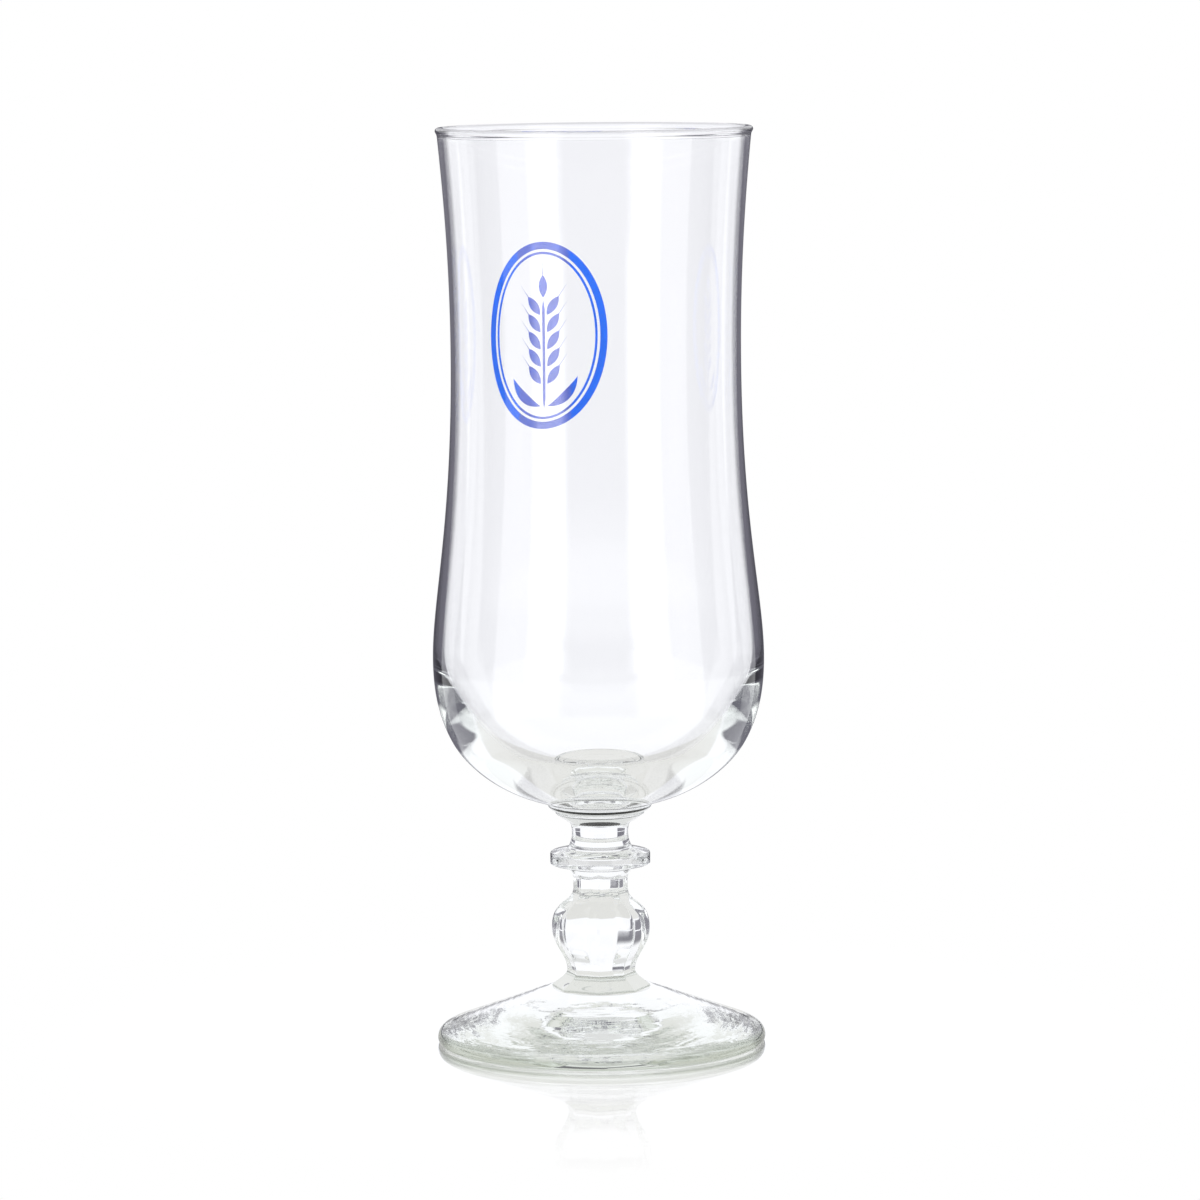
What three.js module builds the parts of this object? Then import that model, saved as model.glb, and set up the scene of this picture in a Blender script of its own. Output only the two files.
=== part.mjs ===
// Stemmed beer glass with a waisted bowl, an eight-sided knop and a round foot.
// Units are millimetres, +Z is up, and the origin is the centre of the foot, on the table.
// The viewer stands on the -Y side, and the fired enamel print is on the back wall.

import * as THREE from 'three';
import { ParametricGeometry } from 'three/addons/geometries/ParametricGeometry.js';

// Foot: a pressed disc with a gently conical top, standing on a flat ring.
const footRadius = 32.9;
const footHeight = 11.0;
const footSeatMargin = 0.6;
const footEdgeRound = 1.2;
const footEdgeHeight = 1.0;
const footShoulderHeight = 2.95;
const footConeSag = 0.05;
const standingRingInset = 1.7;
const standingRingWidth = 4.7;
const hollowDepth = 1.6;

// Stem: every stretch has its own height, counted from the foot upwards.
const ankleRadius = 6.85;
const flangeSpread = 3.05;
const flangeEdge = 0.35;
const flangeRise = 3.05;
const knopRadius = 9.95;
const knopLowerHeight = 8.6;
const knopUpperHeight = 8.2;
const lowerNeckRadius = 5.5;
const lowerNeckHeight = 1.7;
const underCollarFlare = 1.1;
const underCollarRise = 2.45;
const collarRadius = 10.0;
const collarUnderslope = 0.6;
const collarThickness = 2.45;
const collarUpperCorner = 0.3;
const collarLowerCorner = 0.4;
const collarTopFlare = 0.9;
const collarTopRise = 0.8;
const upperNeckRadius = 5.6;
const upperNeckRise = 3.3;
const stemTopFlare = 0.4;
const stemTopRise = 1.9;
const facetCount = 8;
const facetTurn = -3.4;

// Stem plate: the small button of glass that joins the bowl to the stem.
const plateThickness = 2.2;
const plateSeatMargin = 0.1;
const plateFlare = 2.8;
const plateLip = 0.35;

// Bowl: heights are counted from its flat base, which lies on the stem plate.
const bowlHeight = 136.4;
const bowlBaseInset = 0.3;
const bowlPadBulge = 1.8;
const bowlPadUndercut = 0.4;
const bowlPadHeight = 1.85;
const bellyRadius = 33.0;
const bellyRise = 16.8;
const kneeInset = 3.8;
const kneeHeight = 14.2;
const kneeSlope = 61;
const waistRadius = 28.75;
const waistDrop = 44.5;
const rimRadius = 31.0;
const rimFlare = 5.7;
const beadBulge = 0.4;
const beadHeight = 1.5;
const rimWall = 1.15;
const waistWall = 0.8;
const bellyWall = 1.95;
const floorThickness = 5.6;
const heelInset = 9.0;
const heelRise = 9.3;
const heelSlope = 49;
const cavityTurnRise = 18.5;

// Curves: each number is the share of its stretch that a handle of the curve reaches along.
const footShoulderHandle = 0.8;
const flangeHandles = [0.45, 0.35];
const knopLowerHandles = [0.35, 0.42];
const knopUpperHandles = [0.72, 0.42];
const neckHandle = 0.4;
const padHandles = [0.2, 0.7];
const bowlFootHandle = { out: 0.51, up: 0.165 };
const kneeHandle = 0.38;
const bellyHandles = [0.256, 0.486];
const flankHandles = [0.2, 0.56];
const mouthHandles = [0.38, 0.3];
const turnHandles = [0.405, 0.324];
const floorHandles = { heel: 0.323, spread: 0.54 };

// Print: an upright oval badge with an ear of barley, fired onto the back wall.
const printDrop = 43;
const printAzimuth = 112;
const enamelGap = 0.06;
const enamelThickness = 0.12;
const bandHalfWidth = 13.5;
const bandHalfHeight = 19.3;
const bandStroke = 1.5;
const innerLineGap = 0.55;
const innerLineStroke = 0.5;
const earMargin = 1.5;
const stalkMargin = 1.6;
const stalkLength = 5.2;
const stalkWidth = 0.6;
const stalkTaper = 12;
const grainPairs = 5;
const grainTilt = 35;
const grainLength = 4.6;
const grainGap = 0.2;
const grainClearance = 0.45;
const grainFullness = 0.8;
const awnLength = 2.8;
const awnWidth = 0.4;
const leafWidth = 1.9;
const leafReach = 7.2;
const leafRise = 6.6;
const leafBend = { out: 0.75, up: 0.25 };
const leafFullness = 0.9;

// Fineness of the facets.
const roundSides = 56;
const stemSides = 40;
const curveSteps = 4;
const wallSteps = 6;
const cavityRings = 10;
const floorRings = 5;
const bandSteps = 48;
const strokeSteps = 10;

// Finishes: clear soda-lime glass, and two fired enamels.
const glass = (color, opacity) =>
  new THREE.MeshStandardMaterial({ color, roughness: 0.04, metalness: 0, transparent: true, opacity });
const enamel = (color) => new THREE.MeshStandardMaterial({ color, roughness: 0.35, metalness: 0 });
const footGlass = glass(0xd9dedb, 0.45);
const stemGlass = glass(0xe8ebee, 0.45);
const bowlGlass = glass(0xeff1f6, 0.3);
const bandBlue = enamel(0x1f6fdb);
const earBlue = enamel(0x5f74d8);

const degrees = THREE.MathUtils.degToRad;

// Turns an outline of (radius, height) points round the Z axis.
function turned(points, sides) {
  const geometry = new THREE.LatheGeometry(points, sides);
  geometry.rotateX(Math.PI / 2);
  return geometry;
}

// Radii that follow from the pieces that meet there.
const flangeRadius = ankleRadius + flangeSpread;
const footSeatRadius = flangeRadius + footSeatMargin;
const footShoulderRadius = footRadius - footEdgeRound;
const standingRingOuter = footRadius - standingRingInset;
const standingRingInner = standingRingOuter - standingRingWidth;
const underCollarRadius = lowerNeckRadius + underCollarFlare;
const collarTopRadius = upperNeckRadius + collarTopFlare;
const stemTopRadius = upperNeckRadius + stemTopFlare;
const plateBottomRadius = stemTopRadius + plateSeatMargin;
const plateTopRadius = plateBottomRadius + plateFlare;
const bowlBaseRadius = plateTopRadius - bowlBaseInset;
const bowlPadRadius = bowlBaseRadius + bowlPadBulge;
const kneeRadius = bellyRadius - kneeInset;
const heelRadius = bellyRadius - heelInset;
const beadRadius = rimRadius + beadBulge;

function footOutline() {
  const outline = new THREE.Path();
  outline.moveTo(0, hollowDepth);
  outline.quadraticCurveTo(standingRingInner / 2, hollowDepth, standingRingInner, 0);
  outline.lineTo(standingRingOuter, 0);
  outline.quadraticCurveTo(footRadius, 0, footRadius, footEdgeHeight);
  outline.quadraticCurveTo(
    footRadius, footShoulderHeight * footShoulderHandle,
    footShoulderRadius, footShoulderHeight,
  );
  outline.quadraticCurveTo(
    (footShoulderRadius + footSeatRadius) / 2,
    (footShoulderHeight + footHeight) / 2 - footConeSag,
    footSeatRadius,
    footHeight,
  );
  outline.lineTo(0, footHeight);
  return outline.getPoints(curveSteps);
}

// The stem's heights, from the foot's seat upwards.
const ankleHeight = flangeEdge + flangeRise;
const knopHeight = ankleHeight + knopLowerHeight;
const lowerNeckBottom = knopHeight + knopUpperHeight;
const lowerNeckTop = lowerNeckBottom + lowerNeckHeight;
const underCollarHeight = lowerNeckTop + underCollarRise;
const collarBottom = underCollarHeight + collarUnderslope;
const collarTop = collarBottom + collarThickness;
const collarConeTop = collarTop + collarTopRise;
const upperNeckHeight = collarConeTop + upperNeckRise;
const stemHeight = upperNeckHeight + stemTopRise;

function stemOutline() {
  const outline = new THREE.Path();
  outline.moveTo(0, 0);
  outline.lineTo(flangeRadius, 0);
  outline.lineTo(flangeRadius, flangeEdge);
  outline.bezierCurveTo(
    (flangeRadius + ankleRadius) / 2, flangeEdge + flangeRise * flangeHandles[0],
    ankleRadius, ankleHeight - flangeRise * flangeHandles[1],
    ankleRadius, ankleHeight,
  );
  outline.bezierCurveTo(
    ankleRadius, ankleHeight + knopLowerHeight * knopLowerHandles[0],
    knopRadius, knopHeight - knopLowerHeight * knopLowerHandles[1],
    knopRadius, knopHeight,
  );
  outline.bezierCurveTo(
    knopRadius, knopHeight + knopUpperHeight * knopUpperHandles[0],
    lowerNeckRadius, lowerNeckBottom - knopUpperHeight * knopUpperHandles[1],
    lowerNeckRadius, lowerNeckBottom,
  );
  outline.lineTo(lowerNeckRadius, lowerNeckTop);
  outline.quadraticCurveTo(
    lowerNeckRadius, lowerNeckTop + underCollarRise * neckHandle,
    underCollarRadius, underCollarHeight,
  );
  outline.lineTo(collarRadius - collarLowerCorner, collarBottom);
  outline.quadraticCurveTo(collarRadius, collarBottom, collarRadius, collarBottom + collarLowerCorner / 2);
  outline.lineTo(collarRadius, collarTop - collarUpperCorner);
  outline.quadraticCurveTo(collarRadius, collarTop, collarRadius - collarUpperCorner, collarTop);
  outline.lineTo(collarTopRadius, collarConeTop);
  outline.quadraticCurveTo(
    upperNeckRadius, collarConeTop + upperNeckRise * neckHandle,
    upperNeckRadius, upperNeckHeight,
  );
  outline.quadraticCurveTo(
    upperNeckRadius, upperNeckHeight + stemTopRise / 2,
    stemTopRadius, stemHeight,
  );
  outline.lineTo(0, stemHeight);
  return outline.getPoints(curveSteps);
}

// The stem is pressed into eight flats below its collar and stays round above it.
function stemGeometry() {
  const geometry = turned(stemOutline(), stemSides);
  const position = geometry.getAttribute('position');
  const facet = (2 * Math.PI) / facetCount;
  for (let i = 0; i < position.count; i += 1) {
    const x = position.getX(i);
    const y = position.getY(i);
    const z = position.getZ(i);
    const turn = THREE.MathUtils.euclideanModulo(Math.atan2(y, x), facet) - facet / 2;
    const flat = Math.cos(facet / 2) / Math.cos(turn);
    const pressed = 1 - THREE.MathUtils.smoothstep(z, lowerNeckTop, underCollarHeight);
    const scale = THREE.MathUtils.lerp(1, flat, pressed);
    position.setXYZ(i, x * scale, y * scale, z);
  }
  geometry.rotateZ(degrees(facetTurn));
  return geometry;
}

function plateOutline() {
  const outline = new THREE.Path();
  outline.moveTo(0, 0);
  outline.lineTo(plateBottomRadius, 0);
  outline.quadraticCurveTo(
    (plateBottomRadius + plateTopRadius) / 2, (plateThickness - plateLip) / 2,
    plateTopRadius, plateThickness - plateLip,
  );
  outline.lineTo(plateTopRadius, plateThickness);
  outline.lineTo(0, plateThickness);
  return outline.getPoints(curveSteps);
}

// The outside of the bowl, from the top of its base pad to just under the rim bead.
const bellyHeight = kneeHeight + bellyRise;
const rimShoulder = bowlHeight - beadHeight;
const waistHeight = bowlHeight - waistDrop;
const kneeDirection = new THREE.Vector2(Math.cos(degrees(kneeSlope)), Math.sin(degrees(kneeSlope)));
const belowKnee = kneeDirection.clone().multiplyScalar(-kneeHeight * kneeHandle);
const aboveKnee = kneeDirection.clone().multiplyScalar(bellyRise * bellyHandles[0]);
const flankRise = waistHeight - bellyHeight;
const mouthRise = rimShoulder - waistHeight;
const bowlWall = new THREE.Path();
bowlWall.moveTo(bowlPadRadius, bowlPadHeight);
bowlWall.bezierCurveTo(
  THREE.MathUtils.lerp(bowlPadRadius, kneeRadius, bowlFootHandle.out),
  THREE.MathUtils.lerp(bowlPadHeight, kneeHeight, bowlFootHandle.up),
  kneeRadius + belowKnee.x, kneeHeight + belowKnee.y,
  kneeRadius, kneeHeight,
);
bowlWall.bezierCurveTo(
  kneeRadius + aboveKnee.x, kneeHeight + aboveKnee.y,
  bellyRadius, bellyHeight - bellyRise * bellyHandles[1],
  bellyRadius, bellyHeight,
);
bowlWall.bezierCurveTo(
  bellyRadius, bellyHeight + flankRise * flankHandles[0],
  waistRadius, waistHeight - flankRise * flankHandles[1],
  waistRadius, waistHeight,
);
bowlWall.bezierCurveTo(
  waistRadius, waistHeight + mouthRise * mouthHandles[0],
  rimRadius - Math.tan(degrees(rimFlare)) * mouthRise * mouthHandles[1],
  rimShoulder - mouthRise * mouthHandles[1],
  rimRadius, rimShoulder,
);

// The outer radius of the bowl at a height above its base, read off the rings of the wall.
const wallRings = bowlWall.getPoints(wallSteps);
function bowlRadiusAt(height) {
  const last = wallRings.length - 1;
  const above = wallRings.findIndex((ring) => ring.y >= height);
  const upper = Math.min(Math.max(above < 0 ? last : above, 1), last);
  const low = wallRings[upper - 1];
  const high = wallRings[upper];
  return THREE.MathUtils.lerp(low.x, high.x, (height - low.y) / (high.y - low.y));
}

// The wall's thickness follows a parabola through its values at the rim, the waist and the belly.
const heelHeight = floorThickness + heelRise;
const cavityTurnHeight = heelHeight + cavityTurnRise;
const cavityDrop = rimShoulder - cavityTurnHeight;
const waistShare = (rimShoulder - waistHeight) / cavityDrop;
const wallHandle = (waistWall - (1 - waistShare) ** 2 * rimWall - waistShare ** 2 * bellyWall)
  / (2 * waistShare * (1 - waistShare));
function bowlCavityRadiusAt(height) {
  const down = (rimShoulder - height) / cavityDrop;
  const wall = (1 - down) ** 2 * rimWall + 2 * down * (1 - down) * wallHandle + down ** 2 * bellyWall;
  return bowlRadiusAt(height) - wall;
}

// The cavity turns in at the belly, runs down to a soft heel and from there across the thick floor.
function floorOutline() {
  const turnRadius = bowlCavityRadiusAt(cavityTurnHeight);
  const heel = new THREE.Vector2(heelRadius, heelHeight);
  const slope = new THREE.Vector2(Math.cos(degrees(heelSlope)), Math.sin(degrees(heelSlope)));
  const above = heel.clone().addScaledVector(slope, cavityTurnRise * turnHandles[1]);
  const below = heel.clone().addScaledVector(slope, -heelRise * floorHandles.heel);
  const outline = new THREE.Path();
  outline.moveTo(turnRadius, cavityTurnHeight);
  outline.bezierCurveTo(
    turnRadius, cavityTurnHeight - cavityTurnRise * turnHandles[0],
    above.x, above.y,
    heel.x, heel.y,
  );
  outline.bezierCurveTo(
    below.x, below.y,
    heelRadius * floorHandles.spread, floorThickness,
    0, floorThickness,
  );
  return outline.getPoints(floorRings);
}

function bowlOutline() {
  const outline = new THREE.Path();
  outline.moveTo(0, 0);
  outline.lineTo(bowlBaseRadius, 0);
  outline.quadraticCurveTo(
    bowlPadRadius - bowlPadUndercut, bowlPadHeight * padHandles[0],
    bowlPadRadius, bowlPadHeight * padHandles[1],
  );
  outline.lineTo(bowlPadRadius, bowlPadHeight);
  const beadCentre = bowlHeight - beadHeight / 2;
  const cavityRim = rimRadius - rimWall;
  const beadInside = cavityRim - beadBulge;
  const bead = new THREE.Path();
  bead.moveTo(beadRadius, beadCentre);
  bead.quadraticCurveTo(beadRadius, bowlHeight, (beadRadius + beadInside) / 2, bowlHeight);
  bead.quadraticCurveTo(beadInside, bowlHeight, beadInside, beadCentre);
  const cavity = [];
  for (let i = 0; i <= cavityRings; i += 1) {
    const height = THREE.MathUtils.lerp(rimShoulder, cavityTurnHeight, i / cavityRings);
    cavity.push(new THREE.Vector2(bowlCavityRadiusAt(height), height));
  }
  return [
    ...outline.getPoints(2),
    ...wallRings.slice(1),
    ...bead.getPoints(2),
    ...cavity,
    ...floorOutline().slice(1),
  ];
}

// Heights of the pieces above the table, each standing on the one below.
const stemBase = footHeight;
const plateBase = stemBase + stemHeight;
const bowlBase = plateBase + plateThickness;

// A point of the print, u to the side and v upwards from its centre, lifted off the bowl's wall.
const printHeight = bowlHeight - printDrop;
const printRadius = bowlRadiusAt(printHeight);
function onWall(u, v, lift, target) {
  const radius = bowlRadiusAt(printHeight + v) + lift;
  const angle = degrees(printAzimuth) - u / printRadius;
  target.set(radius * Math.cos(angle), radius * Math.sin(angle), bowlBase + printHeight + v);
}

// A stroke of enamel of rectangular section: s runs along its line and t once round its section.
// line gives the centre and the sideways direction at s, and halfWidth gives half its width there.
function enamelStroke(line, halfWidth, steps) {
  const corners = [[1, 0], [-1, 0], [-1, 1], [1, 1], [1, 0]];
  const sideways = new THREE.Vector2();
  const centre = new THREE.Vector2();
  return new ParametricGeometry((s, t, target) => {
    const [side, top] = corners[Math.round(t * 4)];
    line(s, centre, sideways);
    const reach = side * halfWidth(s);
    const lift = enamelGap + top * enamelThickness;
    onWall(centre.x + reach * sideways.x, centre.y + reach * sideways.y, lift, target);
  }, steps, 4);
}

// An upright oval line, its sideways direction pointing out of the oval.
function ovalLine(halfWidth, halfHeight) {
  return (s, centre, sideways) => {
    const angle = 2 * Math.PI * (s % 1);
    centre.set(halfWidth * Math.cos(angle), halfHeight * Math.sin(angle));
    sideways.set(halfHeight * Math.cos(angle), halfWidth * Math.sin(angle)).normalize();
  };
}

// A line along a curve, its sideways direction square to it.
function curveLine(curve) {
  return (s, centre, sideways) => {
    curve.getPoint(s, centre);
    const tangent = curve.getTangent(s);
    sideways.set(tangent.y, -tangent.x);
  };
}

// The ear fills the height of the inner oval: its top awn and its stalk's foot stay clear of the line.
const innerLineInset = bandStroke + innerLineGap + innerLineStroke / 2;
const innerHalfHeight = bandHalfHeight - innerLineInset - innerLineStroke / 2;
const grainTotal = grainLength + awnLength;
const earTop = innerHalfHeight - earMargin - grainTotal;
const stalkFoot = stalkMargin - innerHalfHeight;
const earBase = stalkFoot + stalkLength;
const grainPitch = (earTop - earBase) / grainPairs;
const grainWidth = grainPitch * Math.sin(degrees(grainTilt)) - grainGap;
const grainOffset = stalkWidth / 2 + grainClearance;

// Half the width of a grain that swells and then runs out into its awn.
function grainHalfWidth(s) {
  const along = s * grainTotal;
  const body = along < grainLength ? Math.sin((Math.PI * along) / grainLength) ** grainFullness : 0;
  const awn = Math.min(1, along) * (1 - s);
  return Math.max((grainWidth / 2) * body, (awnWidth / 2) * awn);
}

const leafHalfWidth = (s) => (leafWidth / 2) * Math.sin(Math.PI * s) ** leafFullness;
const stalkHalfWidth = (s) => (stalkWidth / 2) * Math.min(1, stalkTaper * s, stalkTaper * (1 - s));

const glassware = new THREE.Group();

function add(name, geometry, material, height = 0) {
  const mesh = new THREE.Mesh(geometry, material);
  mesh.name = name;
  mesh.position.z = height;
  glassware.add(mesh);
}

add('foot', turned(footOutline(), roundSides), footGlass);
add('stem', stemGeometry(), stemGlass, stemBase);
add('stem_plate', turned(plateOutline(), stemSides), stemGlass, plateBase);
add('bowl', turned(bowlOutline(), roundSides), bowlGlass, bowlBase);

add('print_band', enamelStroke(
  ovalLine(bandHalfWidth - bandStroke / 2, bandHalfHeight - bandStroke / 2),
  () => bandStroke / 2,
  bandSteps,
), bandBlue);
add('print_inner_line', enamelStroke(
  ovalLine(bandHalfWidth - innerLineInset, bandHalfHeight - innerLineInset),
  () => innerLineStroke / 2,
  bandSteps,
), bandBlue);

// The stalk runs up between the grains and ends under the top one.
const stalk = new THREE.LineCurve(
  new THREE.Vector2(0, stalkFoot),
  new THREE.Vector2(0, earTop - grainClearance),
);
add('print_stalk', enamelStroke(curveLine(stalk), stalkHalfWidth, strokeSteps), earBlue);

function addGrain(name, start, tilt) {
  const end = new THREE.Vector2(Math.sin(tilt), Math.cos(tilt)).multiplyScalar(grainTotal).add(start);
  const line = new THREE.LineCurve(start, end);
  add(name, enamelStroke(curveLine(line), grainHalfWidth, strokeSteps), earBlue);
}

for (let pair = 0; pair < grainPairs; pair += 1) {
  const height = earBase + pair * grainPitch;
  addGrain(`print_grain_left_${pair + 1}`, new THREE.Vector2(-grainOffset, height), -degrees(grainTilt));
  addGrain(`print_grain_right_${pair + 1}`, new THREE.Vector2(grainOffset, height), degrees(grainTilt));
}
addGrain('print_grain_top', new THREE.Vector2(0, earTop), 0);

for (const [name, side] of [['print_leaf_left', -1], ['print_leaf_right', 1]]) {
  const leaf = new THREE.QuadraticBezierCurve(
    new THREE.Vector2(side * grainOffset, stalkFoot + stalkWidth),
    new THREE.Vector2(side * leafReach * leafBend.out, stalkFoot + leafRise * leafBend.up),
    new THREE.Vector2(side * leafReach, stalkFoot + leafRise),
  );
  add(name, enamelStroke(curveLine(leaf), leafHalfWidth, strokeSteps), earBlue);
}

export default glassware;
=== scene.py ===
# %% [markdown]
# # A stemmed beer glass in clear glass
#
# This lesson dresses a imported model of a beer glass: a waisted bowl on a ringed, eight-sided stem and a
# round foot, with a fired enamel badge on its back wall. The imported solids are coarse. Clear glass is
# judged by what it bends, so every piece is made again here as a fine, smooth surface in the same place.

import math

import bpy
import numpy as np
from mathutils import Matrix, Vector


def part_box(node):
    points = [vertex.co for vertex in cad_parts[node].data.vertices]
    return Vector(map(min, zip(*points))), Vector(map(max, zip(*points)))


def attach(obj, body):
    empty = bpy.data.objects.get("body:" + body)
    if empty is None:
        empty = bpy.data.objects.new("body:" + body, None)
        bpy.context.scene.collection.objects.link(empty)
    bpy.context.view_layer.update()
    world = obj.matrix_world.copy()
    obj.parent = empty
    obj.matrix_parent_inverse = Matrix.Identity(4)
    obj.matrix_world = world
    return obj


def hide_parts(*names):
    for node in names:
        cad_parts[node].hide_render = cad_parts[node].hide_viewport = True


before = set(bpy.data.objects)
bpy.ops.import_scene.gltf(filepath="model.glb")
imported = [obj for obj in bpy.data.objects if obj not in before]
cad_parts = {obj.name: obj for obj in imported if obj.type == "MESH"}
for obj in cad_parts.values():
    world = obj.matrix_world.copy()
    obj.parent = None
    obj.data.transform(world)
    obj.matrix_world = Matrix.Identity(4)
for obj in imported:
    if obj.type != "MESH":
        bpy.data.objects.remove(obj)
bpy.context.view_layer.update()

MM = 0.001
print("solids in the frame:", len(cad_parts))

# %% [markdown]
# ## The camera
#
# The photograph looks slightly down on the glass through a long lens. Distance, height and lens were
# found by matching ellipses of the rim, the ring and the foot, so they are written as real values. The
# glass in the photograph leans a little to the left, which a small roll of the camera gives back.

# %% Camera
camera_distance = 1032 * MM
camera_height = 211.8 * MM
camera_side = 0.4 * MM
camera_pitch = 6.785
camera_roll = 0.5
camera_lens = 156.6
camera_sensor = 36
camera_reach = (0.05, 20)

camera_data = bpy.data.cameras.new("camera")
camera_data.lens = camera_lens
camera_data.sensor_width = camera_sensor
camera_data.clip_start, camera_data.clip_end = camera_reach
camera = bpy.data.objects.new("camera", camera_data)
bpy.context.scene.collection.objects.link(camera)
camera.location = (camera_side, -camera_distance, camera_height)
camera.rotation_mode = "ZXY"
camera.rotation_euler = (math.radians(90 - camera_pitch), 0, -math.radians(camera_roll))
bpy.context.scene.camera = camera
print("camera looks down by", camera_pitch, "degrees from", round(camera_height, 3), "m up")

# %% [markdown]
# ## Shader maths as Python
#
# A node tree is hard to read as code. A small class wraps one output socket, and its operators add the
# Math nodes, so that `1 - mask` or `height * 3` means what it says. One method adds every other node.

# %% Socket and recipe


class Value:
    """An output socket. An operator on it adds a Math node and gives back that node's output."""

    def __init__(self, recipe, socket):
        self.recipe = recipe
        self.socket = socket

    def math(self, operation, *others):
        """The Math node of that operation on this value and the others."""
        inputs = dict(enumerate((self, *others)))
        return self.recipe.node("ShaderNodeMath", {"operation": operation}, inputs)["Value"]

    def __add__(self, other):
        return self.math("ADD", other)

    def __radd__(self, other):
        return self.math("ADD", other)

    def __sub__(self, other):
        return self.math("SUBTRACT", other)

    def __rsub__(self, other):
        return (self * -1).math("ADD", other)

    def __mul__(self, other):
        return self.math("MULTIPLY", other)

    def __rmul__(self, other):
        return self.math("MULTIPLY", other)

    def __truediv__(self, other):
        return self.math("DIVIDE", other)

    def __rtruediv__(self, other):
        return self.math("POWER", -1) * other

    def __pow__(self, other):
        return self.math("POWER", other)

    def ramp(self, low, high):
        """Nought below low, one above high and a smooth step between them."""
        settings = {"interpolation_type": "SMOOTHSTEP"}
        inputs = {"Value": self, "From Min": low, "From Max": high}
        return self.recipe.node("ShaderNodeMapRange", settings, inputs)["Result"]


class Made:
    """A node that was added. Its outputs are read by name, or by number where names repeat."""

    def __init__(self, recipe, node):
        self.recipe = recipe
        self.node = node

    def __getitem__(self, name):
        return Value(self.recipe, self.node.outputs[name])


class Recipe:
    """The node tree of a material or of the world."""

    def __init__(self, owner):
        owner.use_nodes = True
        self.tree = owner.node_tree
        self.tree.nodes.clear()

    def node(self, kind, settings=None, inputs=None):
        """Adds a node of that type: its settings first, then the value or the link of each socket."""
        made = self.tree.nodes.new(kind)
        for name, setting in (settings or {}).items():
            setattr(made, name, setting)
        for name, value in (inputs or {}).items():
            if isinstance(value, Value):
                self.tree.links.new(value.socket, made.inputs[name])
            else:
                made.inputs[name].default_value = value
        return Made(self, made)

    def mix(self, share, first, second):
        """The colour that lies that share of the way from the first to the second."""
        settings = {"data_type": "RGBA"}
        return self.node("ShaderNodeMix", settings, {0: share, 6: first, 7: second})[2]

    def axes(self, vector):
        """The three parts of a vector as values."""
        parts = self.node("ShaderNodeSeparateXYZ", None, {0: vector})
        return parts["X"], parts["Y"], parts["Z"]

    def place(self):
        """The Object coordinates of the shaded point as three values."""
        return self.axes(self.node("ShaderNodeTexCoord")["Object"])

    def vector(self, x, y, z):
        """A vector put together from three values."""
        return self.node("ShaderNodeCombineXYZ", None, {"X": x, "Y": y, "Z": z})["Vector"]


print("shader helpers ready")

# %% [markdown]
# ## The studio
#
# Clear glass shows only what stands around it. The studio is a bright field: a wide white panel all
# round under a duller ceiling, two dark strips behind the glass to the left and right, low dark cards
# straight behind it, at its sides and behind the camera, and soft boxes beside the camera. Light that
# goes straight through both walls of the bowl finds the panel alone, so the bowl stays white. Light that
# went through a solid piece or one wall finds the strips as well, and they draw the streaks in the stem
# and the foot. Light that was mirrored in a wall on its way finds the cards, and that draws the dark edge
# which makes clear glass readable on white. Real cards can't be sorted so neatly, but a Light Path node
# in the world tells how the light came. Bearings are measured at the axis, from straight behind the glass
# towards the right, and rises from the horizon, both in degrees.

# %% Studio cards
# The last number of each card is the softness of its edges.
card_soft = 1.6
strips = [(-52, -28, card_soft), (34, 52, card_soft)]
strip_top = (12.0, 4.0)
ahead_card = (42, card_soft)
side_cards = (62, 104, card_soft)
camera_card = (155, 3.0)
low_card_top = (4.0, 2.0)
inner_side_cards = (70, 128, 2.4)
inner_card_top = (16.0, 2.0)
inner_band = (2.5, 16.0, 1.5)
inner_band_start = (93, 5)
soft_boxes = (104, 152, card_soft)
soft_box_top = (9.0, 3.0)
overhead = (35.0, 7.0)
print("strips", strips, "side cards", side_cards, "soft boxes", soft_boxes)

# %% Edges, places and depths


def beyond(value, low, soft):
    """One above low and nought below it, with a smooth step of twice soft."""
    return value.ramp(low - soft, low + soft)


def below(value, high, soft):
    """One below high and nought above it, with a smooth step of twice soft."""
    return 1 - beyond(value, high, soft)


def within(value, low, high, soft):
    """One between low and high and nought outside them, with a smooth step of twice soft at each end."""
    return beyond(value, low, soft) * below(value, high, soft)


def bearing_of(x, y):
    """The bearing of (x, y) in degrees from the +Y axis, growing towards +X."""
    return x.math("ARCTAN2", y) * (180 / math.pi)


def distance_of(x, y):
    """The distance of (x, y) from the axis: the root of x squared plus y squared."""
    return (x ** 2 + y ** 2) ** 0.5


def chosen(share, first, second):
    """The first value where the share is nought and the second where it is one."""
    return first + share * (second - first)


def happened(depth):
    """One where a light path's depth counts one or more, and nought where it counts nothing."""
    return depth.math("GREATER_THAN", 0.5)


print("card helpers ready")

# %% Studio along a path of light
window_colour = (1.03, 1.037, 1.075, 1)
card_colour = (0.165, 0.16, 0.195, 1)
soft_box_colour = (1.75, 1.75, 1.78, 1)
overhead_colour = (0.74, 0.74, 0.75, 1)
enamel_light = (1.05, 1.05, 1.05, 1)
enamel_light_through_glass = (3.3, 3.3, 3.3, 1)
most_crossings = 3


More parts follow.
